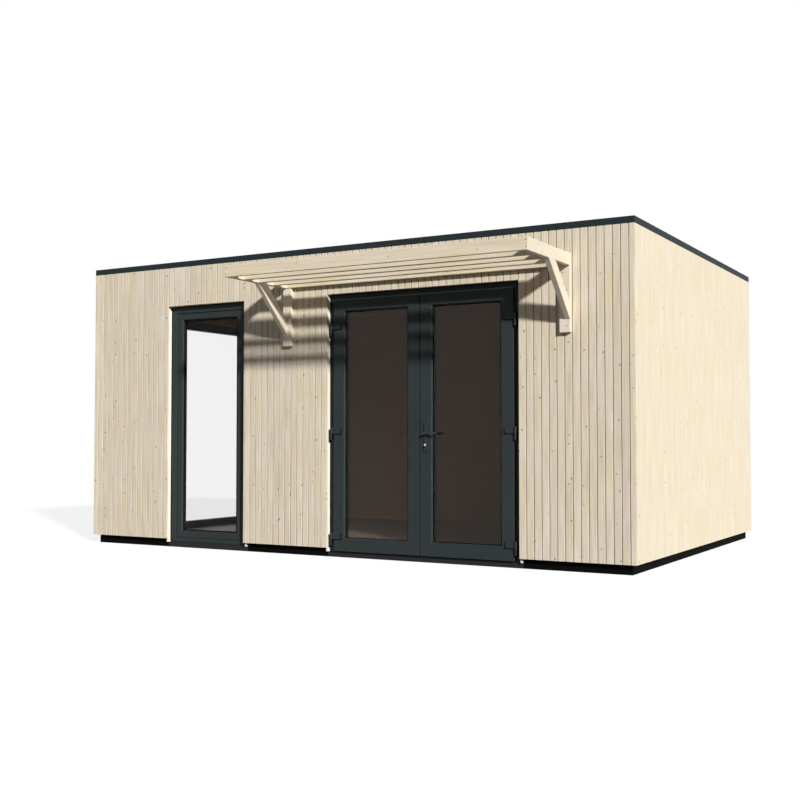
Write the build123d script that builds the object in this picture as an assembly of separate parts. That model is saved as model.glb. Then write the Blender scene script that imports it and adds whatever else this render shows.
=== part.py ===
from build123d import *
import os

# Garden office pod with a flat roof, boarded walls, tall windows, a pair of glazed doors and a
# timber canopy over the doors. Sizes are in millimetres. The origin is on the ground under the
# middle of the building, +X runs along the front, the front faces -Y, and +Z is up.

# Overall size, over the boards and up to the top of the roof trim
width = 5120.0
depth = 3457.0
height = 2500.0

# Layers of a wall, from the face of the boards inwards
cladding_thickness = 20.0
core_thickness = 120.0
wall_thickness = cladding_thickness + core_thickness

# Base and floor
plinth_height = 74.0
plinth_inset = 44.0
floor_thickness = 50.0

# Roof
trim_height = 50.0
trim_flange_width = 60.0
trim_flange_thickness = 6.0
membrane_thickness = 4.0
roof_thickness = 150.0
membrane_top = height - trim_flange_thickness
roof_top = membrane_top - membrane_thickness
roof_bottom = roof_top - roof_thickness
cladding_top = height - trim_height

# Openings, whose starts are measured from the left end of the front
head_drop = 388.0
opening_top = height - head_drop
window_start = 878.0
window_width = 845.0
doors_start = 2559.0
doors_width = 1682.0
side_window_width = 1680.0
side_window_start = (depth - side_window_width) / 2
lining_thickness = 15.0
lining_depth = 30.0
sill_base_height = 43.0
sill_height = 55.0
rough_top = opening_top + lining_thickness

# Frames stand behind the linings
frame_setback = cladding_thickness + lining_depth
frame_depth = 70.0
glass_thickness = 24.0
glass_edge = 12.0

# Narrow front window: a frame and a sash set back in it
window_jamb = 62.0
window_head = 62.0
window_foot = 27.0
sash_member = 63.0
sash_setback = 8.0
sash_depth = 56.0
sash_groove = 4.0
sash_groove_depth = 9.0
sash_glass_setback = 18.0

# Wide window in the left wall, glazed straight into its frame
side_frame_member = 66.0

# Door frame: what shows of a jamb, the part that the leaf laps over, and the stop behind the leaf
door_jamb = 52.0
door_lap = 15.0
door_stop = 15.0
door_stop_depth = 23.0
upstand_height = 13.0
upstand_depth = 12.0

# Door leaves: a flange in front that laps the frame, and a body behind it
leaf_setback = 20.0
flange_thickness = 17.0
leaf_thickness = 68.0
leaf_clearance = 8.0
leaf_foot_gap = 7.0
meeting_gap = 8.0
meeting_relief = 4.0
stile = 105.0
top_rail = 93.0
bottom_rail = 108.0
leaf_glass_setback = 20.0

# Beads round the glass slope back from the face, and sharp edges are eased
bead_width = 8.0
bead_depth = 14.0
eased_edge = 2.0

# Hinges: three to a leaf, with the pin outside the edge of the leaf
pin_offset = 18.0
pin_setback = 12.0
pin_radius = 5.0
pin_clearance = 0.05
knuckle_radius = 9.0
knuckle_height = 50.0
knuckle_gap = 0.3
hinge_foot_inset = 95.0
hinge_head_inset = 231.0
flag_width = 70.0
flag_thickness = 5.0
flag_corner = 12.0
jamb_plate_width = 24.0
jamb_plate_thickness = 5.0
web_thickness = 6.0

# Lever handle on the right leaf
handle_offset = 56.0
plate_width = 32.0
plate_height = 232.0
plate_thickness = 8.0
plate_middle = 966.0
spindle_height = 990.0
spindle_radius = 6.0
spindle_play = 2.0
hub_radius = 10.0
hub_gap = 0.3
lever_reach = 34.0
lever_length = 98.0
lever_radius = 8.0
cylinder_height = 900.0
cylinder_radius = 8.5
cylinder_reach = 13.0
turn_radius = 13.0
turn_thickness = 9.0

# Canopy
canopy_width = 2509.0
canopy_rise = 160.0
canopy_member = 40.0
arm_height = 89.0
arm_reach = 765.0
fascia_thickness = 25.0
wall_plate_width = 82.0
wall_plate_thickness = 32.0
wall_plate_length = 566.0
brace_height = 86.0
brace_drop = 474.0
slat_height = 70.0
slat_depth = 40.0
ledger_depth = 40.0
timber_arris = 2.0
slat_pitch = 189.5
slat_count = 3
canopy_top = opening_top + canopy_rise

left = -width / 2
right = width / 2
front = -depth / 2
back = depth / 2
core_left = left + cladding_thickness
core_right = right - cladding_thickness
core_front = front + cladding_thickness
core_back = back - cladding_thickness
room_left = left + wall_thickness
room_right = right - wall_thickness
room_front = front + wall_thickness
room_back = back - wall_thickness
plinth_left = left + plinth_inset
plinth_right = right - plinth_inset
plinth_front = front + plinth_inset
plinth_back = back - plinth_inset

# An opening is described in its own frame: x along the wall, y into the wall, z up
window_place = Pos(left + window_start, front, 0)
doors_place = Pos(left + doors_start, front, 0)
side_window_place = Pos(left, back - side_window_start, 0) * Rot(0, 0, -90)


def block(x, y, z):
    """A cuboid between the low and high values of x, y and z."""
    size = Box(x[1] - x[0], y[1] - y[0], z[1] - z[0])
    return Pos((x[0] + x[1]) / 2, (y[0] + y[1]) / 2, (z[0] + z[1]) / 2) * size


def rod(radius, low, high, x, y):
    """An upright round bar."""
    return Pos(x, y, (low + high) / 2) * Cylinder(radius, high - low)


def cross_rod(radius, x, y, z):
    """A round bar along y, between the two values of y."""
    bar = Cylinder(radius, y[1] - y[0], rotation=(90, 0, 0))
    return Pos(x, (y[0] + y[1]) / 2, z) * bar


def group(*solids):
    """Solids of one node that don't touch."""
    return Compound(children=list(solids))


def rough(start, length):
    """The low and high ends of an opening in the core, which the lining makes narrower."""
    return (start - lining_thickness, start + length + lining_thickness)


window_hole = rough(left + window_start, window_width)
doors_hole = rough(left + doors_start, doors_width)
side_window_hole = rough(front + side_window_start, side_window_width)


def make_base():
    """Floor and plinth. The plinth stops at each sill."""
    inner_x = (room_left, room_right)
    inner_y = (room_front, room_back)
    rise = (0, plinth_height)
    front_y = (plinth_front, room_front)
    side_y = side_window_hole
    return {
        "floor": block(inner_x, inner_y, (0, floor_thickness)),
        "plinth_front": group(
            block((plinth_left, window_hole[0]), front_y, rise),
            block((window_hole[1], doors_hole[0]), front_y, rise),
            block((doors_hole[1], plinth_right), front_y, rise),
        ),
        "plinth_back": block((plinth_left, plinth_right), (room_back, plinth_back), rise),
        "plinth_sides": group(
            block((room_right, plinth_right), inner_y, rise),
            block((plinth_left, room_left), (room_front, side_y[0]), rise),
            block((plinth_left, room_left), (side_y[1], room_back), rise),
        ),
    }


def make_walls():
    """Insulated wall panels behind the boards, with real openings."""
    rise = (plinth_height, roof_bottom)
    head = (rough_top, roof_bottom)
    front_y = (core_front, room_front)
    left_x = (core_left, room_left)
    return {
        "wall_front_left": block((core_left, window_hole[0]), front_y, rise),
        "wall_front_middle": block((window_hole[1], doors_hole[0]), front_y, rise),
        "wall_front_right": block((doors_hole[1], core_right), front_y, rise),
        "wall_heads": group(
            block(window_hole, front_y, head),
            block(doors_hole, front_y, head),
            block(left_x, side_window_hole, head),
        ),
        "wall_back": block((core_left, core_right), (room_back, core_back), rise),
        "wall_right": block((room_right, core_right), (room_front, room_back), rise),
        "wall_left": group(
            block(left_x, (room_front, side_window_hole[0]), rise),
            block(left_x, (side_window_hole[1], room_back), rise),
        ),
    }


def make_cladding():
    """The skin of boards on each wall. The front and back run over the ends of the sides."""
    rise = (plinth_height, cladding_top)
    cut = (plinth_height, opening_top)
    front_skin = block((left, right), (front, core_front), rise)
    for start, length in ((window_start, window_width), (doors_start, doors_width)):
        gap = (left + start, left + start + length)
        front_skin -= block(gap, (front, core_front), cut)
    side_y = (core_front, core_back)
    left_skin = block((left, core_left), side_y, rise)
    gap = (front + side_window_start, front + side_window_start + side_window_width)
    left_skin -= block((left, core_left), gap, cut)
    return {
        "cladding_front": front_skin,
        "cladding_left": left_skin,
        "cladding_right": block((core_right, right), side_y, rise),
        "cladding_back": block((left, right), (core_back, back), rise),
    }


def trim_length(length):
    """Roof edge trim of an L section, mitred at both ends, with its face along local y = 0."""
    half = length / 2
    leg = Polyline(
        (0, cladding_top),
        (0, height),
        (trim_flange_width, height),
        (trim_flange_width, membrane_top),
        (cladding_thickness, membrane_top),
        (cladding_thickness, cladding_top),
        close=True,
    )
    section = Plane.YZ.offset(-half) * make_face(leg)
    bar = extrude(section, length, dir=(1, 0, 0))
    run = half - trim_flange_width
    mitre = Polyline((-half, 0), (half, 0), (run, trim_flange_width), (-run, trim_flange_width), close=True)
    return bar & extrude(make_face(mitre), height, dir=(0, 0, 1))


def make_roof():
    """Roof panel, its membrane and the trim round the edge."""
    edge_x = (core_left, core_right)
    edge_y = (core_front, core_back)
    return {
        "roof_panel": block(edge_x, edge_y, (roof_bottom, roof_top)),
        "roof_membrane": block(edge_x, edge_y, (roof_top, membrane_top)),
        "trim_front": Pos(0, front, 0) * trim_length(width),
        "trim_back": Rot(0, 0, 180) * Pos(0, front, 0) * trim_length(width),
        "trim_right": Rot(0, 0, 90) * Pos(0, left, 0) * trim_length(depth),
        "trim_left": Rot(0, 0, -90) * Pos(0, left, 0) * trim_length(depth),
    }


def lining(clear):
    """Boards round an opening, between the skin and the frame: two uprights and a head."""
    y = (cladding_thickness, frame_setback)
    outer = block((-lining_thickness, clear + lining_thickness), y, (sill_base_height, rough_top))
    return outer - block((0, clear), y, (sill_base_height, opening_top))


def sill_base(clear):
    """The strip under an opening, which takes the place of the plinth there and carries the linings."""
    x = (-lining_thickness, clear + lining_thickness)
    return block(x, (plinth_inset, wall_thickness), (0, sill_base_height))


def window_sill(clear):
    """The strip with a raised back part, which the frame of a window stands on."""
    x = (-lining_thickness, clear + lining_thickness)
    return sill_base(clear) + block(x, (frame_setback, wall_thickness), (sill_base_height, sill_height))


def frame_ring(x, y, z, hole_x, hole_z):
    """A four-sided frame with a rectangular hole."""
    return block(x, y, z) - block(hole_x, y, hole_z)


def eased_ring(x, y, z, hole_x, hole_z):
    """A frame whose front edges round the hole are eased."""
    ring = frame_ring(x, y, z, hole_x, hole_z)
    face = ring.faces().sort_by(Axis.Y)[0]
    return chamfer(face.inner_wires()[0].edges(), eased_edge)


def hole_outline(hole_x, hole_z, margin):
    """The outline of a glazed hole, wider by the margin all round."""
    wide = hole_x[1] - hole_x[0] + 2 * margin
    tall = hole_z[1] - hole_z[0] + 2 * margin
    return Pos((hole_x[0] + hole_x[1]) / 2, (hole_z[0] + hole_z[1]) / 2) * Rectangle(wide, tall)


def bead_slope(hole_x, hole_z, face_y):
    """The space in front of the beads, which slope back from the face to the edge of the hole."""
    wide = Plane.XZ.offset(-face_y) * hole_outline(hole_x, hole_z, bead_width)
    narrow = Plane.XZ.offset(-face_y - bead_depth) * hole_outline(hole_x, hole_z, 0)
    return loft([wide, narrow])


def pane(hole_x, hole_z, y):
    """A sheet of sealed glazing whose edges sit in a groove of the frame."""
    x = (hole_x[0] - glass_edge, hole_x[1] + glass_edge)
    z = (hole_z[0] - glass_edge, hole_z[1] + glass_edge)
    return block(x, y, z)


def make_windows():
    """The narrow front window and the wide one in the left wall, which stay shut."""
    outer_x = (-lining_thickness, window_width + lining_thickness)
    outer_z = (sill_height, rough_top)
    frame_y = (frame_setback, frame_setback + frame_depth)
    hole_x = (window_jamb, window_width - window_jamb)
    hole_z = (sill_height + window_foot, opening_top - window_head)
    sash_front = frame_setback + sash_setback
    sash_y = (sash_front, sash_front + sash_depth)
    groove_y = (sash_front, sash_front + sash_groove_depth)
    face_x = (hole_x[0] + sash_groove, hole_x[1] - sash_groove)
    face_z = (hole_z[0] + sash_groove, hole_z[1] - sash_groove)
    light_x = (hole_x[0] + sash_member, hole_x[1] - sash_member)
    light_z = (hole_z[0] + sash_member, hole_z[1] - sash_member)
    glass_y = (sash_front + sash_glass_setback, sash_front + sash_glass_setback + glass_thickness)
    glass = pane(light_x, light_z, glass_y)
    sash = frame_ring(hole_x, sash_y, hole_z, light_x, light_z)
    sash -= frame_ring(hole_x, groove_y, hole_z, face_x, face_z)
    sash -= bead_slope(light_x, light_z, sash_front)
    sash -= glass

    side_outer_x = (-lining_thickness, side_window_width + lining_thickness)
    side_x = (side_frame_member, side_window_width - side_frame_member)
    side_z = (sill_height + side_frame_member, opening_top - side_frame_member)
    side_middle = (frame_y[0] + frame_y[1]) / 2
    side_y = (side_middle - glass_thickness / 2, side_middle + glass_thickness / 2)
    side_glass = pane(side_x, side_z, side_y)
    side_frame = frame_ring(side_outer_x, frame_y, outer_z, side_x, side_z) - side_glass
    return {
        "window_frame": window_place * eased_ring(outer_x, frame_y, outer_z, hole_x, hole_z),
        "window_sash": window_place * sash,
        "window_glass": window_place * glass,
        "side_window_frame": side_window_place * side_frame,
        "side_window_glass": side_window_place * side_glass,
        "opening_linings": group(
            window_place * lining(window_width),
            doors_place * lining(doors_width),
            side_window_place * lining(side_window_width),
        ),
        "window_sills": group(
            window_place * window_sill(window_width),
            side_window_place * window_sill(side_window_width),
        ),
    }


leaf_x = (doors_width / 2 + meeting_gap / 2, doors_width - door_jamb)
leaf_z = (sill_base_height + leaf_foot_gap, opening_top - door_jamb)
leaf_back = leaf_setback + leaf_thickness
flange_back = leaf_setback + flange_thickness
light_x = (leaf_x[0] + stile, leaf_x[1] - stile)
light_z = (leaf_z[0] + bottom_rail, leaf_z[1] - top_rail)
pin_x = leaf_x[1] + pin_offset
handle_x = leaf_x[0] + handle_offset
hinge_low = leaf_z[0] + hinge_foot_inset
hinge_high = leaf_z[1] - hinge_head_inset
hinge_middles = (hinge_low, (hinge_low + hinge_high) / 2, hinge_high)
stop_front = frame_setback + frame_depth - door_stop_depth


def door_frame():
    """Two jambs and a head, rebated at the back for the stop that the leaves close against."""
    y = (frame_setback, frame_setback + frame_depth)
    outer = block((-lining_thickness, doors_width + lining_thickness), y, (sill_base_height, rough_top))
    inner = door_jamb + door_lap
    stop = inner + door_stop
    opening = block((inner, doors_width - inner), (y[0], stop_front), (sill_base_height, opening_top - inner))
    passage = block((stop, doors_width - stop), (stop_front, y[1]), (sill_base_height, opening_top - stop))
    return outer - opening - passage


def threshold():
    """The door sill, with the upstand that the foot of each leaf closes in front of."""
    stop = door_jamb + door_lap + door_stop
    upstand_y = (stop_front, stop_front + upstand_depth)
    upstand_z = (sill_base_height, sill_base_height + upstand_height)
    upstand = block((stop, doors_width - stop), upstand_y, upstand_z)
    return sill_base(doors_width) + upstand


def leaf_glass_y():
    low = leaf_setback + leaf_glass_setback
    return (low, low + glass_thickness)


def right_leaf():
    """A leaf with a lapping flange, a body behind it, a glazed hole and holes for the handle."""
    flange = block(leaf_x, (leaf_setback, flange_back), leaf_z)
    flange = chamfer(flange.faces().sort_by(Axis.Y)[0].edges(), eased_edge)
    edge = door_lap + leaf_clearance
    body_x = (leaf_x[0] + meeting_relief, leaf_x[1] - edge)
    body = block(body_x, (flange_back, leaf_back), (leaf_z[0], leaf_z[1] - edge))
    leaf = flange + body
    leaf -= block(light_x, (leaf_setback, leaf_back), light_z)
    leaf -= pane(light_x, light_z, leaf_glass_y())
    leaf -= bead_slope(light_x, light_z, leaf_setback)
    leaf -= cross_rod(spindle_radius + spindle_play, handle_x, (leaf_setback, leaf_back), spindle_height)
    leaf -= cross_rod(cylinder_radius, handle_x, (leaf_setback, leaf_back), cylinder_height)
    return leaf


def hinge_leaf_half(middle):
    """The upper knuckle of a hinge and its flag, screwed to the face of the leaf."""
    low = middle + knuckle_gap / 2
    knuckle = rod(knuckle_radius, low, middle + knuckle_height, pin_x, pin_setback)
    flag_y = (leaf_setback - flag_thickness, leaf_setback)
    flag = block((leaf_x[1] - flag_width, pin_x), flag_y, (low, middle + knuckle_height))
    corners = flag.edges().filter_by(Axis.Y).group_by(Axis.X)[0]
    flag = fillet(corners, flag_corner)
    bore = rod(pin_radius + pin_clearance, low, middle + knuckle_height, pin_x, pin_setback)
    return flag + knuckle - bore


def hinge_frame_half(middle):
    """The lower knuckle with its pin, the web behind it and its plate on the jamb."""
    high = middle - knuckle_gap / 2
    low = middle - knuckle_height
    knuckle = rod(knuckle_radius, low, high, pin_x, pin_setback)
    pin = rod(pin_radius, low, middle + knuckle_height, pin_x, pin_setback)
    web_x = (pin_x, pin_x + web_thickness)
    web = block(web_x, (pin_setback, frame_setback), (low, high))
    plate_y = (frame_setback - jamb_plate_thickness, frame_setback)
    plate = block((pin_x, pin_x + jamb_plate_width), plate_y, (low, high))
    return knuckle + pin + web + plate


def handle_plates():
    """Long plates on both faces of the right leaf."""
    x = (handle_x - plate_width / 2, handle_x + plate_width / 2)
    z = (plate_middle - plate_height / 2, plate_middle + plate_height / 2)
    outer = block(x, (leaf_setback - plate_thickness, leaf_setback), z)
    inner = block(x, (leaf_back, leaf_back + plate_thickness), z)
    outer = fillet(outer.edges().filter_by(Axis.Y), plate_width * 0.25)
    inner = fillet(inner.edges().filter_by(Axis.Y), plate_width * 0.25)
    reach = (leaf_setback - plate_thickness, leaf_back + plate_thickness)
    spindle_bore = cross_rod(spindle_radius + pin_clearance, handle_x, reach, spindle_height)
    key_bore = cross_rod(cylinder_radius + pin_clearance, handle_x, reach, cylinder_height)
    return group(outer - spindle_bore - key_bore, inner - spindle_bore - key_bore)


def lock_cylinder():
    """The cylinder through the leaf, with a thumb turn inside."""
    y = (leaf_setback - plate_thickness - cylinder_reach, leaf_back + plate_thickness)
    body = cross_rod(cylinder_radius, handle_x, y, cylinder_height)
    turn = cross_rod(turn_radius, handle_x, (y[1], y[1] + turn_thickness), cylinder_height)
    return body + turn


def lever(side_y, outward):
    """A hub standing off a plate and a round lever towards the hinges; outward is -1 or +1 in y."""
    hub_start = side_y + outward * hub_gap
    hub_end = side_y + outward * lever_reach
    hub = cross_rod(hub_radius, handle_x, sorted((hub_start, hub_end)), spindle_height)
    arm_y = hub_end - outward * lever_radius
    arm = Pos(handle_x + lever_length / 2, arm_y, spindle_height) * Cylinder(
        lever_radius, lever_length, rotation=(0, 90, 0)
    )
    tip = Pos(handle_x + lever_length, arm_y, spindle_height) * Sphere(lever_radius)
    return hub + arm + tip


def door_levers():
    """Both levers on one spindle."""
    outer_face = leaf_setback - plate_thickness
    inner_face = leaf_back + plate_thickness
    reach = (outer_face - hub_gap, inner_face + hub_gap)
    spindle = cross_rod(spindle_radius, handle_x, reach, spindle_height)
    return lever(outer_face, -1) + spindle + lever(inner_face, 1)


def mirrored(shape):
    """The same piece on the left leaf, which is the mirror image of the right one."""
    return mirror(shape, Plane.YZ.offset(doors_width / 2))


def plain_left_leaf():
    """The left leaf has no handle, so it is built without the holes and then mirrored."""
    filled = right_leaf()
    filled += cross_rod(spindle_radius + spindle_play, handle_x, (leaf_setback, leaf_back), spindle_height)
    filled += cross_rod(cylinder_radius, handle_x, (leaf_setback, leaf_back), cylinder_height)
    return mirrored(filled)


def make_doors():
    """Frame, sill, two outward-opening leaves, hinges, handle and lock."""
    glass = pane(light_x, light_z, leaf_glass_y())
    leaf_halves = [hinge_leaf_half(middle) for middle in hinge_middles]
    frame_halves = [hinge_frame_half(middle) for middle in hinge_middles]
    nodes = {
        "door_frame": door_frame(),
        "door_threshold": threshold(),
        "door_hinge_pins": group(*frame_halves, *[mirrored(half) for half in frame_halves]),
        "right_door_leaf": right_leaf(),
        "right_door_glass": glass,
        "right_door_hinges": group(*leaf_halves),
        "left_door_leaf": plain_left_leaf(),
        "left_door_glass": mirrored(glass),
        "left_door_hinges": group(*[mirrored(half) for half in leaf_halves]),
        "handle_plates": handle_plates(),
        "lock_cylinder": lock_cylinder(),
        "door_levers": door_levers(),
    }
    return {name: doors_place * shape for name, shape in nodes.items()}


def beam(x, y, z, run):
    """A planed timber whose four long edges, along the run, are eased."""
    timber = block(x, y, z)
    return chamfer(timber.edges().filter_by(run), timber_arris)


def canopy_brace(foot, top):
    """A sloping strut from the wall plate to the arm, cut level at the top and upright at the foot."""
    run = top - foot
    cut = brace_height * 2**0.5
    outline = Polyline(
        (-wall_plate_thickness, foot),
        (-wall_plate_thickness, foot + cut),
        (-wall_plate_thickness - run + cut, top),
        (-wall_plate_thickness - run, top),
        close=True,
    )
    strut = extrude(Plane.YZ * make_face(outline), canopy_member, dir=(1, 0, 0))
    sloping = [edge for edge in strut.edges() if abs(edge.length - (run - cut) * 2**0.5) < 1]
    long_edges = sloping + [edge for edge in strut.edges() if abs(edge.length - run * 2**0.5) < 1]
    return chamfer(long_edges, timber_arris)


def make_canopy():
    """Open slatted canopy on two braced brackets, centred over the doors."""
    middle = doors_width / 2
    ends = (middle - canopy_width / 2, middle + canopy_width / 2)
    arm_z = (canopy_top - arm_height, canopy_top)
    bay = (ends[0] + canopy_member, ends[1] - canopy_member)
    plate_z = (canopy_top - wall_plate_length, canopy_top)
    plate_y = (-wall_plate_thickness, 0)
    plates_x = ((ends[0], ends[0] + wall_plate_width), (ends[1] - wall_plate_width, ends[1]))
    plates = [beam(x, plate_y, plate_z, Axis.Z) for x in plates_x]
    arm_y = (-arm_reach, -wall_plate_thickness)
    arms = [beam(x, arm_y, arm_z, Axis.Y) for x in ((ends[0], bay[0]), (bay[1], ends[1]))]
    slat_z = (arm_z[0], arm_z[0] + slat_height)
    ledger = beam((plates_x[0][1], plates_x[1][0]), (-ledger_depth, 0), slat_z, Axis.X)
    ledger_face = beam(bay, (-ledger_depth, -wall_plate_thickness), slat_z, Axis.X)
    slats = [ledger + ledger_face]
    for place in range(1, slat_count + 1):
        low = -ledger_depth - place * slat_pitch
        slats.append(beam(bay, (low, low + slat_depth), slat_z, Axis.X))
    brace = canopy_brace(canopy_top - brace_drop, arm_z[0])
    nodes = {
        "canopy_fascia": beam(ends, (-arm_reach - fascia_thickness, -arm_reach), arm_z, Axis.X),
        "canopy_arms": group(*arms),
        "canopy_slats": group(*slats),
        "canopy_wall_plates": group(*plates),
        "canopy_braces": group(Pos(ends[0], 0, 0) * brace, Pos(bay[1], 0, 0) * brace),
    }
    return {name: doors_place * shape for name, shape in nodes.items()}


os.makedirs("parts", exist_ok=True)
for make in (make_base, make_walls, make_cladding, make_roof, make_windows, make_doors, make_canopy):
    for name, shape in make().items():
        export_step(shape, f"parts/{name}.step")
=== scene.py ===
import math

import bpy
import numpy as np
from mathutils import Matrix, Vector


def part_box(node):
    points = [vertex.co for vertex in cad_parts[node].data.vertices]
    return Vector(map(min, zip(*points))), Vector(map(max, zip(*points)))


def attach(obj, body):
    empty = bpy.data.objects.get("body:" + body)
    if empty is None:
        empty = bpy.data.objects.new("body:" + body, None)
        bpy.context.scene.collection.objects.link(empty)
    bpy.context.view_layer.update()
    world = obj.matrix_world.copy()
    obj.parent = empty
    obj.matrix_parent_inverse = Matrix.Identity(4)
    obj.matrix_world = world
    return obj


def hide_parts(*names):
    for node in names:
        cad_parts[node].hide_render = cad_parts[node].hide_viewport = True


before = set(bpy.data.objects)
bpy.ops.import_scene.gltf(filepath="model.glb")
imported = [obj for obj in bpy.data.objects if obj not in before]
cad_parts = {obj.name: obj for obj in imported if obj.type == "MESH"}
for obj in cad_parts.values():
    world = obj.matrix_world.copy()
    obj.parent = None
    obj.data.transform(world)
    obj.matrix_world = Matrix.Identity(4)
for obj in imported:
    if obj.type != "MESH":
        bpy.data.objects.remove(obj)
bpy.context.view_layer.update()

# Garden office pod: metres, +X along the front, the front faces -Y, +Z up, the ground is z = 0.
MM = 0.001
SEED = 11

# Camera at the photograph's angle, for an image of 800 x 800
CAMERA_PLACE = (5.011, -9.2445, 0.947)
CAMERA_YAW = 29.955
CAMERA_PITCH = 1.980
CAMERA_LENS = 50.4
SENSOR_WIDTH = 36.0

# Light: one low, slightly soft sun from the front right, and an even fill
SUN_TRAVEL = (-0.733, 0.531, -0.425)
SUN_STRENGTH = 4.79
SUN_WIDTH = math.radians(3.6)
SUN_COLOUR = (1.0, 0.99, 0.965)
FILL = 0.19

# Studio floor: its half width, how strongly it shows a shadow, the light that reaches it where
# nothing shades it, and how much it sends back to the walls
FLOOR_REACH = 60.0
FLOOR_SHADOW = 0.18
LIGHT_ON_FLOOR = 0.8
FLOOR_BOUNCE = 0.12

# Boards: the first joint from the wall's end, the pitch, and the groove's width and depth
NARROW_BOARDS = (47.0 * MM, 59.88 * MM, 6.6 * MM, 14.0 * MM)
FLUSH_BOARDS = (119.5 * MM, 119.5 * MM, 0.5 * MM, 0.8 * MM)
# The rounding of a board's face beside a groove, of one beside a cut or a wall's end, and the
# bevel at the back of a cut edge
ARRIS = 1.6 * MM
CUT_ARRIS = 0.4 * MM
BACK_ARRIS = 2.5 * MM

# Joinery: how far a frame reaches behind the linings beside it, and glass into its frame
LINING = 15.0 * MM
GLASS_EDGE = 12.0 * MM


def linear(code):
    """An sRGB hex colour such as "d5c8b1" as linear red, green and blue, with an alpha of 1."""
    parts = np.array([int(code[i : i + 2], 16) for i in (0, 2, 4)]) / 255
    low = parts / 12.92
    high = ((parts + 0.055) / 1.055) ** 2.4
    return (*np.where(parts <= 0.04045, low, high).tolist(), 1.0)


def grey(value):
    """A grey of that linear brightness."""
    return (value, value, value, 1.0)


def material(name):
    """A new material with an empty node tree and its output node."""
    made = bpy.data.materials.new(name)
    made.use_nodes = True
    made.node_tree.nodes.clear()
    output = made.node_tree.nodes.new("ShaderNodeOutputMaterial")
    return made, made.node_tree, output


def add(tree, kind, inputs=None, **settings):
    """Adds a node. inputs gives a socket, by its name or number, a value, a socket or a node.

    A node given there stands for its first output. A MapRange has its value at 0, the ends of its
    range at 1 and 2, and what they become at 3 and 4. A Mix has its factor at 0, its two colours at
    6 and 7, and the mixed colour at output 2.
    """
    made = tree.nodes.new("ShaderNode" + kind)
    for key, value in settings.items():
        setattr(made, key, value)
    for key, value in (inputs or {}).items():
        if isinstance(value, bpy.types.Node):
            value = value.outputs[0]
        if isinstance(value, bpy.types.NodeSocket):
            tree.links.new(value, made.inputs[key])
        else:
            made.inputs[key].default_value = value
    return made


# How a timber member runs: its length, then the two directions across it. A brace rises outwards
# at about 45 degrees.
RUNS = {
    "x": ((1, 0, 0), (0, 1, 0), (0, 0, 1)),
    "y": ((0, 1, 0), (1, 0, 0), (0, 0, 1)),
    "z": ((0, 0, 1), (1, 0, 0), (0, 1, 0)),
    "brace": ((0, -0.7071, 0.7071), (1, 0, 0), (0, 0.7071, 0.7071)),
}

# Knots: their colour, their smallest and largest radius, and their width against their height
KNOT = linear("5e4a36")
KNOT_RADII = (1.2 * MM, 7.4 * MM)
KNOT_SQUEEZE = 0.74
# Metres along the trunk between the figure of the darkest board and that of the palest
BOARD_SHIFT = 37.0
# Nearly all of a noise lies between these two values
NOISE_LOW, NOISE_HIGH = 0.25, 0.75


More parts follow.
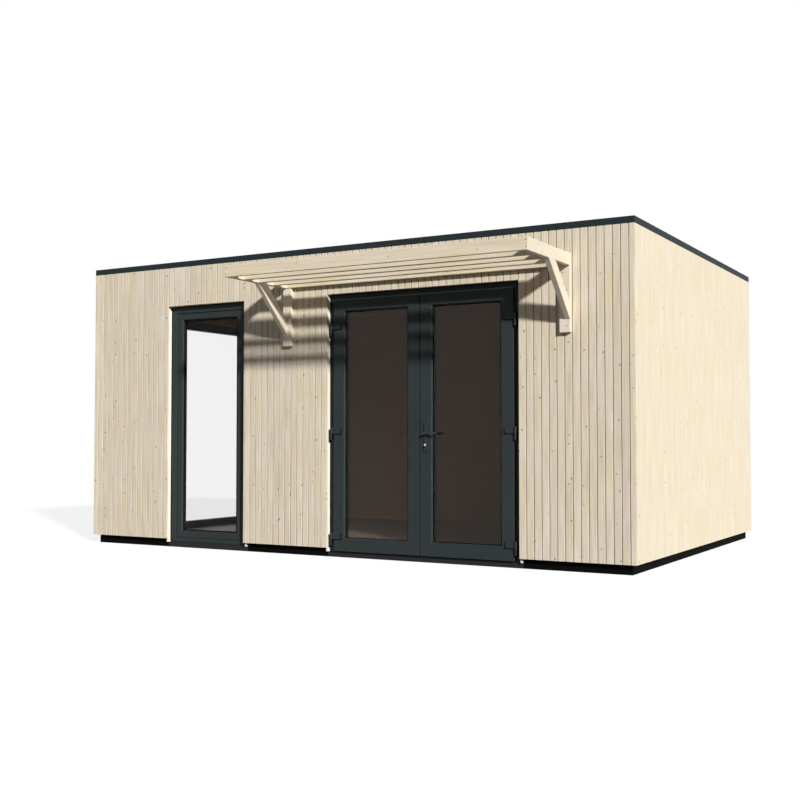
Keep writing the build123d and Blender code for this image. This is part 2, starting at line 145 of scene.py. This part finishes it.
def timber(name, run, colours, streaks, knots_per_metre, sheen=(0.65, 0.12), tone_attribute=None):
    """Planed spruce, unfinished: pale and matt, streaked along the member, with small dark knots.

    run is the member's direction. colours are the pale, the golden and the rosy tone. streaks are
    their width and length in millimetres and how much they lighten and darken the wood. sheen is
    the roughness and the level of the surface's shine. tone_attribute names the mesh's number from
    0 to 1 that makes each board a little darker or paler and gives it a figure of its own.
    """
    made, tree, output = material(name)
    place = add(tree, "TexCoord").outputs["Object"]
    along, across, through = [
        add(tree, "VectorMath", {0: place, 1: way}, operation="DOT_PRODUCT").outputs["Value"]
        for way in RUNS[run]
    ]
    side = add(tree, "Math", {0: across, 1: through}, operation="ADD")
    tone = 0.5
    if tone_attribute:
        tone = add(tree, "Attribute", attribute_name=tone_attribute).outputs["Fac"]
    shifted = {0: tone, 1: BOARD_SHIFT, 2: along}
    length = add(tree, "Math", shifted, operation="MULTIPLY_ADD")

    def stretched(width_mm, length_mm, detail, roughness, offset=0.0):
        """Noise whose blots are so wide and so long, in millimetres, along the member."""
        wide = add(tree, "Math", {0: side, 1: 1000 / width_mm, 2: offset}, operation="MULTIPLY_ADD")
        long = add(tree, "Math", {0: length, 1: 1000 / length_mm}, operation="MULTIPLY")
        scaled = add(tree, "CombineXYZ", {"X": wide, "Y": long})
        figure = {"Vector": scaled, "Scale": 1.0, "Detail": detail, "Roughness": roughness}
        return add(tree, "TexNoise", figure, noise_dimensions="2D")

    # The wood's figures: year rings cut lengthwise, fine fibre, and broad clouds and blushes
    streak_width, streak_length, strength = streaks
    streak = stretched(streak_width, streak_length, 3, 0.55)
    fibre = stretched(2.4, 110, 2, 0.6)
    cloud = stretched(75, 420, 1, 0.5)
    blush = stretched(60, 330, 1, 0.5, offset=31.0)

    # The three tones of the wood, in broad clouds along the member
    pale, golden, rosy = colours
    part = add(tree, "MapRange", {0: cloud, 1: 0.36, 2: 0.64, 3: 0.0, 4: 1.0})
    base = add(tree, "Mix", {0: part, 6: pale, 7: golden}, data_type="RGBA").outputs[2]
    part = add(tree, "MapRange", {0: blush, 1: 0.5, 2: 0.68, 3: 0.0, 4: 0.9})
    base = add(tree, "Mix", {0: part, 6: base, 7: rosy}, data_type="RGBA").outputs[2]

    # Brighter and darker: a figure, its range, and the factors at the ends of the range
    shades = [
        (streak, NOISE_LOW, NOISE_HIGH, 1 - strength, 1 + strength),
        (fibre, NOISE_LOW, NOISE_HIGH, 0.965, 1.035),
        (cloud, NOISE_LOW, NOISE_HIGH, 1.02, 0.98),
    ]
    if tone_attribute:
        shades.append((tone, 0.0, 1.0, 0.955, 1.045))
    for shade in shades:
        factor = add(tree, "MapRange", dict(enumerate(shade)))
        base = add(tree, "VectorMath", {0: base, "Scale": factor}, operation="SCALE")

    # Knots of many sizes, each a dark core in a golden halo
    drawn_out = add(tree, "Math", {0: length, 1: KNOT_SQUEEZE}, operation="MULTIPLY")
    flat = add(tree, "CombineXYZ", {"X": side, "Y": drawn_out})
    cells = {"Vector": flat, "Scale": knots_per_metre, "Randomness": 1.0}
    spots = add(tree, "TexVoronoi", cells, voronoi_dimensions="2D")
    chance = add(tree, "SeparateColor", {"Color": spots.outputs["Color"]})
    least, most = (radius * knots_per_metre for radius in KNOT_RADII)
    reach = add(tree, "MapRange", {0: chance, 1: 0.3, 2: 1.0, 3: least, 4: most})
    ratio = add(tree, "Math", {0: spots.outputs["Distance"], 1: reach}, operation="DIVIDE")
    halo = add(tree, "MapRange", {0: ratio, 1: 1.1, 2: 2.6, 3: 0.5, 4: 0.0})
    base = add(tree, "Mix", {0: halo, 6: base, 7: golden}, data_type="RGBA").outputs[2]
    core = add(tree, "MapRange", {0: ratio, 1: 0.45, 2: 1.15, 3: 0.85, 4: 0.0})
    base = add(tree, "Mix", {0: core, 6: base, 7: KNOT}, data_type="RGBA").outputs[2]

    # The streaks are a little smoother and rougher, and the fibre stands up 0.4 mm at most
    roughness, level = sheen
    rough = {0: streak, 1: NOISE_LOW, 2: NOISE_HIGH, 3: roughness - 0.06, 4: roughness + 0.06}
    raised = {"Height": fibre, "Strength": 0.12, "Distance": 0.4 * MM}
    surface = {
        "Base Color": base,
        "Roughness": add(tree, "MapRange", rough),
        "Specular IOR Level": level,
        "Normal": add(tree, "Bump", raised),
    }
    shader = add(tree, "BsdfPrincipled", surface)
    tree.links.new(shader.outputs[0], output.inputs["Surface"])
    return made


def coated(name, colour, roughness, specular, grain_mm, height_mm, metallic=0.0, spread=0.06):
    """A coat or skin with a fine grain, and broad clouds that are a little paler and darker.

    grain_mm and height_mm are the width and the height of the grain. spread is how much the clouds
    change the colour.
    """
    cloud_mm = 385
    made, tree, output = material(name)
    place = add(tree, "TexCoord").outputs["Object"]
    grain = add(tree, "TexNoise", {"Vector": place, "Scale": 1000 / grain_mm, "Detail": 2.0})
    cloud = add(tree, "TexNoise", {"Vector": place, "Scale": 1000 / cloud_mm, "Detail": 3.0})
    shade = add(tree, "MapRange", {0: cloud, 1: 0.3, 2: 0.7, 3: 1 - spread, 4: 1 + spread})
    rough = {0: grain, 3: roughness - 0.05, 4: roughness + 0.05}
    raised = {"Height": grain, "Strength": 0.25, "Distance": height_mm * MM}
    surface = {
        "Base Color": add(tree, "VectorMath", {0: colour[:3], "Scale": shade}, operation="SCALE"),
        "Roughness": add(tree, "MapRange", rough),
        "Metallic": metallic,
        "Specular IOR Level": specular,
        "Normal": add(tree, "Bump", raised),
    }
    shader = add(tree, "BsdfPrincipled", surface)
    tree.links.new(shader.outputs[0], output.inputs["Surface"])
    return made


def glazing(name, tint, index):
    """Sealed float glass: clear, smooth and with a weak reflection.

    Its index is matched to how little the object's panes reflect, and is below that of plain glass.
    The sun's light passes as grey, as bright as the tint.
    """
    made, tree, output = material(name)
    pane = {"Base Color": tint, "Roughness": 0.0, "IOR": index, "Transmission Weight": 1.0}
    seen = add(tree, "BsdfPrincipled", pane)
    passed = add(tree, "BsdfTransparent", {"Color": grey(sum(tint[:3]) / 3)})
    lamp = add(tree, "LightPath").outputs["Is Shadow Ray"]
    both = add(tree, "MixShader", {0: lamp, 1: seen, 2: passed})
    tree.links.new(both.outputs[0], output.inputs["Surface"])
    return made


def plank_floor(name, light, dark, joint):
    """Laminate planks along the room: grey and satin, with a thin dark joint between planks.

    The grain starts at another place in each plank, and each plank leans to the dark tone by a
    share of its own.
    """
    plank_mm, joint_mm = 190, 3
    grain_length_mm, grain_width_mm = 455, 11.1
    plank_shift, darkest = 19.0, 0.35
    made, tree, output = material(name)
    place = add(tree, "TexCoord").outputs["Object"]
    x, y, _ = add(tree, "SeparateXYZ", {0: place}).outputs
    row = add(tree, "Math", {0: y, 1: 1000 / plank_mm}, operation="MULTIPLY")
    number = add(tree, "Math", {0: row}, operation="FLOOR")
    part = add(tree, "Math", {0: row}, operation="FRACT")
    tone = add(tree, "TexWhiteNoise", {"W": number}, noise_dimensions="1D")
    along = add(tree, "Math", {0: tone, 1: plank_shift, 2: x}, operation="MULTIPLY_ADD")
    long = add(tree, "Math", {0: along, 1: 1000 / grain_length_mm}, operation="MULTIPLY")
    wide = add(tree, "Math", {0: y, 1: 1000 / grain_width_mm}, operation="MULTIPLY")
    scaled = add(tree, "CombineXYZ", {"X": long, "Y": wide})
    grain = add(tree, "TexNoise", {"Vector": scaled, "Scale": 1.0, "Detail": 4.0})
    base = add(tree, "Mix", {0: grain, 6: light, 7: dark}, data_type="RGBA").outputs[2]
    darker = add(tree, "Math", {0: tone, 1: darkest}, operation="MULTIPLY")
    base = add(tree, "Mix", {0: darker, 6: base, 7: dark}, data_type="RGBA").outputs[2]
    edge = add(tree, "Math", {0: part, 1: joint_mm / plank_mm}, operation="LESS_THAN")
    base = add(tree, "Mix", {0: edge, 6: base, 7: joint}, data_type="RGBA").outputs[2]
    satin = {"Base Color": base, "Roughness": 0.5, "Specular IOR Level": 0.2}
    shader = add(tree, "BsdfPrincipled", satin)
    tree.links.new(shader.outputs[0], output.inputs["Surface"])
    return made


# Spruce boards: the front's are a little greyer and more streaked than the smooth side walls'
front_tones = (linear("d8cfbe"), linear("d7cbb2"), linear("d9cabb"))
side_tones = (linear("ded3bf"), linear("ded1b6"), linear("dfd1bf"))
narrow_spruce = timber(
    "spruce_boards", "z", front_tones, (12, 380, 0.12), 8.2, tone_attribute="board_tone"
)
flush_spruce = timber("spruce_boards_flush", "z", side_tones, (16, 420, 0.07), 6.6)

# Spruce linings, the palest wood: their paleness is partly a painted highlight of the sun
# that they catch as bright lines
lining_tones_and_painted_highlight = (linear("f7f0df"), linear("f6edd5"), linear("f6eadb"))
lining_spruce_and_painted_highlight = timber("spruce_linings_and_painted_highlight", "z", lining_tones_and_painted_highlight, (12, 380, 0.04), 4.0)

# Finely planed canopy timber, which has more shine than the boards where the sun grazes it
beam_tones = (linear("ddd2be"), linear("dcceb1"), linear("deceba"))
arm_tones = (linear("dfd5c4"), linear("dfd4bd"), linear("e0d4c4"))
beam_spruce = timber("spruce_beams", "x", beam_tones, (12, 420, 0.09), 4.5, (0.5, 0.25))
arm_spruce, plate_spruce, brace_spruce = [
    timber(name, run, arm_tones, (12, 420, 0.05), 4.5, (0.42, 0.5))
    for name, run in (("spruce_arms", "y"), ("spruce_wall_plates", "z"), ("spruce_braces", "brace"))
]

# Powder coat on aluminium: satin, blue grey, with a grain too fine to see as more than a soft sheen
anthracite = coated("anthracite_powder_coat", linear("2f3637"), 0.42, 0.09, 1.2, 0.05)
trim_coat = coated("anthracite_roof_trim", linear("262e32"), 0.55, 0.06, 1.2, 0.05)
sill_coat = coated("dark_grey_sill", linear("262729"), 0.55, 0.1, 1.2, 0.05)
lever_coat = coated("dark_grey_lever", linear("222a2d"), 0.34, 0.4, 0.8, 0.02)

# Black coated steel pins, brushed steel that glints, and dull zinc on the screws
black_metal = coated("black_coated_steel", linear("191d1f"), 0.4, 0.25, 1.0, 0.04)
brushed_steel = coated("brushed_steel", linear("dddbd4"), 0.3, 0.5, 0.8, 0.02, metallic=1.0)
screw_zinc = coated("zinc_screw_head", linear("5a5248"), 0.5, 0.3, 0.8, 0.02)

# Moulded rubber and the plinth's stained board: nearly black and without shine. The rubber also
# makes the black strips that paint shade and shadows at the glass, the linings and the fittings.
black_rubber_and_painted_shade = coated("black_glazing_rubber_and_painted_shade", linear("0c0d0d"), 0.7, 0.05, 0.8, 0.02)
plinth_board = coated("black_plinth_board", linear("0d0d0c"), 0.8, 0.02, 3.0, 0.15)

# Rubber roof sheet: matt, dark grey and slightly rough. Inner panels: painted brown, dull and flat
roof_rubber = coated("roof_rubber_sheet", linear("34373a"), 0.8, 0.2, 4.0, 0.3)
inner_panel = coated("brown_inner_panel", linear("b59884"), 0.8, 0.03, 6.0, 0.0, spread=0.02)

# Float glass: clear in the windows, and body-tinted bronze in the doors, which dims the room
clear_glass = glazing("clear_window_glass", linear("f9f9f9"), 1.15)
bronze_glass = glazing("bronze_door_glass", linear("e6d9c9"), 1.27)

# Laminate planks: grey and satin, and brown where they show through the doors
plank_tones = (linear("8f8b86"), linear("827e78"), linear("45413c"))
floor_planks = plank_floor("grey_plank_floor", *plank_tones)

FINISHES = (
    (floor_planks, ("floor",)),
    (plinth_board, ("plinth_front", "plinth_back", "plinth_sides")),
    (inner_panel, ("wall_front_left", "wall_front_middle", "wall_front_right", "wall_heads")),
    (inner_panel, ("wall_back", "wall_right", "wall_left", "roof_panel")),
    (lining_spruce_and_painted_highlight, ("opening_linings",)),
    (roof_rubber, ("roof_membrane",)),
    (trim_coat, ("trim_front", "trim_back", "trim_left", "trim_right")),
    (sill_coat, ("window_sills", "door_threshold")),
    (anthracite, ("window_frame", "window_sash", "side_window_frame", "door_frame")),
    (anthracite, ("right_door_leaf", "left_door_leaf", "right_door_hinges", "left_door_hinges")),
    (anthracite, ("handle_plates",)),
    (clear_glass, ("window_glass", "side_window_glass")),
    (bronze_glass, ("right_door_glass", "left_door_glass")),
    (black_metal, ("door_hinge_pins",)),
    (lever_coat, ("door_levers",)),
    (brushed_steel, ("lock_cylinder",)),
    (beam_spruce, ("canopy_fascia", "canopy_slats")),
    (arm_spruce, ("canopy_arms",)),
    (plate_spruce, ("canopy_wall_plates",)),
    (brace_spruce, ("canopy_braces",)),
)


def give_finishes():
    """Gives each CAD node its finish."""
    for finish, nodes in FINISHES:
        for node in nodes:
            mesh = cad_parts[node].data
            mesh.materials.clear()
            mesh.materials.append(finish)


def mesh_piece(name, points, faces, finish, body, slot):
    """A flat-faced mesh from an array of points and lists of faces, which rides on a body."""
    mesh = bpy.data.meshes.new(name)
    mesh.from_pydata(np.asarray(points, float).reshape(-1, 3).tolist(), [], faces)
    mesh.materials.append(finish)
    mesh.update()
    piece = bpy.data.objects.new(name, mesh)
    bpy.context.scene.collection.objects.link(piece)
    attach(piece, body)
    return piece


def prism_faces(count, corners):
    """Faces of that many prisms, each given as its first end's corners and then its second end's.

    Seen from the second end the corners run anticlockwise. A side joins two neighbouring corners
    of one end to the same two of the other, and each end is closed by one face.
    """
    ring = np.arange(corners)
    following = np.roll(ring, -1)
    sides = np.stack([ring, following, following + corners, ring + corners], 1)
    ends = np.stack([ring[::-1], ring + corners])
    shift = (np.arange(count) * corners * 2)[:, None, None]
    return (shift + sides).reshape(-1, 4).tolist() + (shift + ends).reshape(-1, corners).tolist()


def boxes(spans):
    """Corners and faces of cuboids, each given as its low and high corner.

    On each axis a corner takes the low one's place or the high one's.
    """
    spans = np.array(spans, float)
    upper = np.array([(x, y, z) for z in (0, 1) for x, y in ((0, 0), (1, 0), (1, 1), (0, 1))])
    return np.where(upper, spans[:, None, 1], spans[:, None, 0]), prism_faces(len(spans), 4)


def board_section(low, high, low_groove, high_groove, low_cut, high_cut, depth, thickness):
    """Outline across a board, for arrays of its two ends: (boards, 14, 2), across and inwards.

    A tongue at the groove's depth fills the width from low to high, and the face stands on it,
    narrower by half a groove at each side, with its two arrises rounded over by a point at the
    middle of each quarter circle. Where low_cut or high_cut is 1 the edge is cut at an opening, and
    its back arris is taken off. An arris takes no more than 0.8 of the groove's depth.
    """
    zero = np.zeros_like(low)
    low_round, high_round = [
        np.minimum(np.where(side > CUT_ARRIS, ARRIS, CUT_ARRIS), depth * 0.8)
        for side in (low_groove, high_groove)
    ]
    # How far the middle of a quarter circle lies from each of the two faces that it joins
    bend = 1 - math.sqrt(0.5)
    across = [
        low + low_cut * BACK_ARRIS,
        low,
        low,
        low + low_groove,
        low + low_groove,
        low + low_groove + low_round * bend,
        low + low_groove + low_round,
        high - high_groove - high_round,
        high - high_groove - high_round * bend,
        high - high_groove,
        high - high_groove,
        high,
        high,
        high - high_cut * BACK_ARRIS,
    ]
    inwards = [
        zero + thickness,
        thickness - low_cut * BACK_ARRIS,
        zero + depth,
        zero + depth,
        low_round,
        low_round * bend,
        zero,
        zero,
        high_round * bend,
        high_round,
        zero + depth,
        zero + depth,
        thickness - high_cut * BACK_ARRIS,
        zero + thickness,
    ]
    return np.stack([np.stack(across, 1), np.stack(inwards, 1)], 2)


def board_rows(joints, holes, foot, head, groove):
    """A row for each piece of board between two joints.

    A board beside a hole is cut back to it, and the board over a hole starts at the hole's top. A
    row holds the board's two ends along the wall, half of the groove at each, its foot and head,
    its number along the wall, and a 1 for each edge that is cut at a hole.
    """
    rows = []
    last = len(joints) - 2
    for number, (low, high) in enumerate(zip(joints[:-1], joints[1:])):
        half = (0 if number == 0 else groove / 2, 0 if number == last else groove / 2)
        hole = next((span for span in holes if span[0] < high and low < span[1]), None)
        if hole is None:
            rows.append((low, high, *half, foot, head, number, 0, 0))
            continue
        start, end, top = hole
        rows.append((low, high, *half, top, head, number, 0, 0))
        if low < start:
            rows.append((low, start, half[0], 0, foot, top, number, 0, 1))
        if high > end:
            rows.append((end, high, 0, half[1], foot, top, number, 1, 0))
    return np.array(rows).T


def wall_of_boards(node, finish, across, inwards, boards, holes=()):
    """Upright boards in the space of a wall's skin, each its section carried from foot to head.

    across and inwards are the wall's directions. holes are spans along the wall, each its two ends
    and its top.
    """
    box_low, box_high = (np.array(corner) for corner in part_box(node))
    across, inwards = np.array(across, float), np.array(inwards, float)
    length, thickness = (abs((box_high - box_low) @ way) for way in (across, inwards))
    first, pitch, groove, depth = boards
    # A last board narrower than 0.3 of a pitch is left out, and its neighbour fills its place
    joints = np.concatenate([[0.0], np.arange(first, length - pitch * 0.3, pitch), [length]])
    tones = np.random.default_rng(SEED + len(joints)).random(len(joints))

    rows = board_rows(joints, holes, box_low[2], box_high[2], groove)
    low, high, low_groove, high_groove, foot, head, number, low_cut, high_cut = rows
    # An edge with no groove keeps a sliver of its tongue, so that no two corners meet
    sliver = CUT_ARRIS / 2
    low_groove, high_groove = np.maximum(low_groove, sliver), np.maximum(high_groove, sliver)
    section = board_section(
        low, high, low_groove, high_groove, low_cut, high_cut, depth, thickness
    )
    # The corners run anticlockwise as seen from above
    if np.cross(across, inwards)[2] < 0:
        section = section[:, ::-1]

    start = np.where(inwards < 0, box_high, box_low)
    flat = start + section[..., :1] * across + section[..., 1:] * inwards
    points = np.stack([flat, flat], 1)
    points[..., 2] = np.stack([foot, head], 1)[..., None]
    count, corners = section.shape[:2]
    faces = prism_faces(count, corners)
    piece = mesh_piece(node + "_boards", points, faces, finish, "building", "cladding_timber")
    tone = piece.data.attributes.new("board_tone", "FLOAT", "POINT")
    tone.data.foreach_set("value", np.repeat(tones[number.astype(int)], corners * 2))
    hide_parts(node)


def opening(frame_node, skin, axis):
    """Two ends of an opening, from the end of the skin that it is in, and its top.

    The boards stop in line with the linings, behind which the frame reaches a little further.
    """
    low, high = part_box(frame_node)
    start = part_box(skin)[0][axis]
    return low[axis] + LINING - start, high[axis] - LINING - start, high.z - LINING


def clad_walls():
    """Narrow grooved boards at the front and back, and flush boards on the side walls."""
    front = [opening(node, "cladding_front", 0) for node in ("window_frame", "door_frame")]
    left = [opening("side_window_frame", "cladding_left", 1)]
    x, y = (1, 0, 0), (0, 1, 0)
    wall_of_boards("cladding_front", narrow_spruce, x, y, NARROW_BOARDS, front)
    wall_of_boards("cladding_back", narrow_spruce, x, (0, -1, 0), NARROW_BOARDS)
    wall_of_boards("cladding_right", flush_spruce, y, (-1, 0, 0), FLUSH_BOARDS)
    wall_of_boards("cladding_left", flush_spruce, y, x, FLUSH_BOARDS, left)


def ring_spans(low, high, inset, width, front, back):
    """Four cuboids that make an upright ring inside a box, from front to back along y."""
    x0, x1, z0, z1 = low.x + inset, high.x - inset, low.z + inset, high.z - inset
    return [
        ((x0, front, z0), (x1, back, z0 + width)),
        ((x0, front, z1 - width), (x1, back, z1)),
        ((x0, front, z0 + width), (x0 + width, back, z1 - width)),
        ((x1 - width, front, z0 + width), (x1, back, z1 - width)),
    ]


def glass_rubber_and_painted_shade(name, glass, holder, width, height, body):
    """A rubber strip in front of a sheet of glass, and behind it a thin black lining that is
    painted shade over the reveal behind the glass.

    width and height are those of the strip. The lining ends just short of the back of the frame
    that holds the glass.
    """
    thin, short = 1.5 * MM, 1 * MM
    low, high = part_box(glass)
    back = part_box(holder)[1].y - short
    spans = ring_spans(low, high, GLASS_EDGE, width, low.y - height, low.y)
    # The thin black lining behind the glass is painted shade over the reveal
    spans += ring_spans(low, high, GLASS_EDGE, thin, high.y, back)
    mesh_piece(name, *boxes(spans), black_rubber_and_painted_shade, body, "black_hardware")


def painted_reveal_shade(name, frame_node):
    """Painted shade: black strips on a frame's face, along the linings at both sides and the head.
    """
    width, thickness = 9 * MM, 2 * MM
    low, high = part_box(frame_node)
    x0, x1, top = low.x + LINING, high.x - LINING, high.z - LINING
    front, back = low.y - thickness, low.y
    spans = [
        ((x0, front, top - width), (x1, back, top)),
        ((x0, front, low.z), (x0 + width, back, top - width)),
        ((x1 - width, front, low.z), (x1, back, top - width)),
    ]
    mesh_piece(name, *boxes(spans), black_rubber_and_painted_shade, "building", "black_hardware")


def painted_hinge_shadows(name, door, way):
    """Painted shadow of the hinge flags: black strips that show as an L beside and under each flag.

    way is 1 where the flags point to the left and -1 where they point to the right. The flags are
    told apart by the gaps between their heights.
    """
    show, thickness, length, head_gap = 7 * MM, 3 * MM, 68 * MM, 5 * MM
    apart = 200 * MM
    node = door + "_hinges"
    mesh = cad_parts[node].data
    corners = np.empty(len(mesh.vertices) * 3)
    mesh.vertices.foreach_get("co", corners)
    heights = np.sort(corners.reshape(-1, 3)[:, 2])
    breaks = np.flatnonzero(np.diff(heights) > apart)
    feet = np.concatenate([heights[:1], heights[breaks + 1]])
    heads = np.concatenate([heights[breaks], heights[-1:]])

    low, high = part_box(node)
    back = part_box(door + "_leaf")[0].y
    front = back - thickness
    tip = low.x if way > 0 else high.x
    beside = sorted((tip - way * show, tip))
    under = sorted((tip, tip + way * length))
    spans = []
    for foot, head in zip(feet, heads):
        spans.append(((beside[0], front, foot - show), (beside[1], back, head - head_gap)))
        spans.append(((under[0], front, foot - show), (under[1], back, foot)))
    mesh_piece(name, *boxes(spans), black_rubber_and_painted_shade, door, "black_hardware")


def painted_plate_shadow():
    """Painted shadow of the handle plate: a black strip beside and under it, short of its corners.
    """
    show, thickness, corner = 6 * MM, 3 * MM, 10 * MM
    low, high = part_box("handle_plates")
    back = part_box("right_door_leaf")[0].y
    front = back - thickness
    spans = [
        ((low.x - show, front, low.z + corner), (low.x, back, high.z - corner)),
        ((low.x + corner, front, low.z - show), (high.x - corner, back, low.z)),
    ]
    mesh_piece("handle_plate_painted_shadow", *boxes(spans), black_rubber_and_painted_shade, "right_door", "black_hardware")


def screw_heads(name, places, facing):
    """Countersunk screw heads, each a flat disc: a circle of 16 points carried the way it faces."""
    sides, radius, thickness = 16, 4.5 * MM, 0.4 * MM
    facing = np.array(facing, float)
    first, second = np.eye(3)[facing == 0]
    if np.cross(first, second) @ facing < 0:
        first, second = second, first
    turn = np.arange(sides)[:, None] * (2 * math.pi / sides)
    circle = radius * (np.cos(turn) * first + np.sin(turn) * second)
    ends = np.array([0.0, thickness])[:, None, None] * facing
    points = np.array(places)[:, None, None] + ends + circle
    faces = prism_faces(len(places), sides)
    mesh_piece(name, points, faces, screw_zinc, "building", "black_hardware")


def canopy_screws():
    """Two screws at each end of the fascia, three in a wall plate and two through the right arm.

    inset is a screw's distance from the timber's end or side, and drop the one from its top, in
    millimetres.
    """
    low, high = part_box("canopy_fascia")
    sunk = 0.3 * MM
    places = [
        (end + way * inset * MM, low.y + sunk, high.z - drop * MM)
        for end, way in ((low.x, 1), (high.x, -1))
        for inset, drop in ((9, 19), (9, 68))
    ]
    screw_heads("fascia_screws", places, (0, -1, 0))

    low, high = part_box("canopy_wall_plates")
    places = [
        (side + way * inset * MM, low.y, high.z - drop * MM)
        for side, way in ((low.x, 1), (high.x, -1))
        for inset, drop in ((56, 138), (27, 262), (27, 519))
    ]
    screw_heads("wall_plate_screws", places, (0, -1, 0))

    low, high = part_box("canopy_arms")
    places = [
        (high.x, low.y + inset * MM, high.z - drop * MM) for inset, drop in ((155, 22), (223, 66))
    ]
    screw_heads("right_arm_screws", places, (1, 0, 0))


def skirting():
    """Skirting boards round the room, with gaps at the openings."""
    height, thickness = 70 * MM, 9 * MM
    low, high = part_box("floor")
    foot, head = high.z, high.z + height
    x0, x1, y0, y1 = low.x, high.x, low.y, high.y
    window, doors, side = (
        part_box(node) for node in ("window_frame", "door_frame", "side_window_frame")
    )
    spans = [
        ((x0, y1 - thickness, foot), (x1, y1, head)),
        ((x1 - thickness, y0, foot), (x1, y1 - thickness, head)),
        ((x0, y0, foot), (x0 + thickness, side[0].y, head)),
        ((x0, side[1].y, foot), (x0 + thickness, y1 - thickness, head)),
        ((x0 + thickness, y0, foot), (window[0].x, y0 + thickness, head)),
        ((window[1].x, y0, foot), (doors[0].x, y0 + thickness, head)),
        ((doors[1].x, y0, foot), (x1 - thickness, y0 + thickness, head)),
    ]
    mesh_piece("skirting_boards", *boxes(spans), inner_panel, "building", "wall_panel")


def shown_rays(tree):
    """1 for rays from the camera, a mirror or glass before they meet a matt surface, else 0."""
    path = add(tree, "LightPath").outputs
    ways = {0: path["Is Camera Ray"], 1: path["Is Glossy Ray"]}
    shown = add(tree, "Math", ways, operation="MAXIMUM")
    shown = add(tree, "Math", {0: shown, 1: path["Is Transmission Ray"]}, operation="MAXIMUM")
    first = add(tree, "Math", {0: path["Diffuse Depth"], 1: 0.5}, operation="LESS_THAN")
    return add(tree, "Math", {0: shown, 1: first}, operation="MULTIPLY")


def make_world():
    """White for the eye and even fill light for matt surfaces."""
    world = bpy.data.worlds.new("studio")
    world.use_nodes = True
    tree = world.node_tree
    tree.nodes.clear()
    level = add(tree, "MapRange", {0: shown_rays(tree), 3: FILL, 4: 1.0})
    light = add(tree, "Background", {"Color": grey(1.0), "Strength": level})
    add(tree, "OutputWorld", {"Surface": light})
    bpy.context.scene.world = world


def make_floor():
    """Pale floor that keeps the shadow and sends little light back on the walls.

    To the eye it glows a little short of white, and the light that falls on it adds the rest.
    """
    made, tree, output = material("pale_floor")
    glow_strength = 1 - FLOOR_SHADOW * LIGHT_ON_FLOOR
    lit = add(tree, "BsdfDiffuse", {"Color": grey(FLOOR_SHADOW)})
    glow = add(tree, "Emission", {"Color": grey(1.0), "Strength": glow_strength})
    pale = add(tree, "AddShader", {0: lit, 1: glow})
    dark = add(tree, "BsdfDiffuse", {"Color": grey(FLOOR_BOUNCE)})
    both = add(tree, "MixShader", {0: shown_rays(tree), 1: dark, 2: pale})
    tree.links.new(both.outputs[0], output.inputs["Surface"])
    mesh = bpy.data.meshes.new("studio_floor")
    ring = ((-1, -1, 0), (1, -1, 0), (1, 1, 0), (-1, 1, 0))
    mesh.from_pydata((np.array(ring) * FLOOR_REACH).tolist(), [], [(0, 1, 2, 3)])
    mesh.materials.append(made)
    floor = bpy.data.objects.new("studio_floor", mesh)
    bpy.context.scene.collection.objects.link(floor)


def make_sun():
    """The low sun, whose direction gives the canopy's shadows their slope."""
    light = bpy.data.lights.new("sun", "SUN")
    light.energy = SUN_STRENGTH
    light.angle = SUN_WIDTH
    light.color = SUN_COLOUR
    lamp = bpy.data.objects.new("sun", light)
    lamp.rotation_mode = "QUATERNION"
    lamp.rotation_quaternion = Vector(SUN_TRAVEL).to_track_quat("-Z", "Y")
    bpy.context.scene.collection.objects.link(lamp)


def make_camera():
    """The camera, level but for a slight upward pitch."""
    data = bpy.data.cameras.new("camera")
    data.lens = CAMERA_LENS
    data.sensor_width = SENSOR_WIDTH
    camera = bpy.data.objects.new("camera", data)
    camera.location = CAMERA_PLACE
    camera.rotation_euler = (math.radians(90 + CAMERA_PITCH), 0, math.radians(CAMERA_YAW))
    bpy.context.scene.collection.objects.link(camera)
    bpy.context.scene.camera = camera


give_finishes()
clad_walls()
glass_rubber_and_painted_shade("window_glass_rubber_and_painted_shade", "window_glass", "window_sash", 11 * MM, 4 * MM, "building")
for door in ("right_door", "left_door"):
    glass_rubber_and_painted_shade(door + "_gaskets", door + "_glass", door + "_leaf", 5 * MM, 5 * MM, door)
# Black strips that paint the shaded gap where the linings meet the frames
painted_reveal_shade("window_reveal_painted_shade", "window_frame")
painted_reveal_shade("door_reveal_painted_shade", "door_frame")
# Black strips that paint the shadows beside and under the hinge flags
painted_hinge_shadows("right_hinge_painted_shadows", "right_door", 1)
painted_hinge_shadows("left_hinge_painted_shadows", "left_door", -1)
# A black strip that paints the shadow beside and under the handle plate
painted_plate_shadow()
canopy_screws()
skirting()

make_world()
make_floor()
make_sun()
make_camera()
bpy.context.scene.view_settings.view_transform = "Standard"
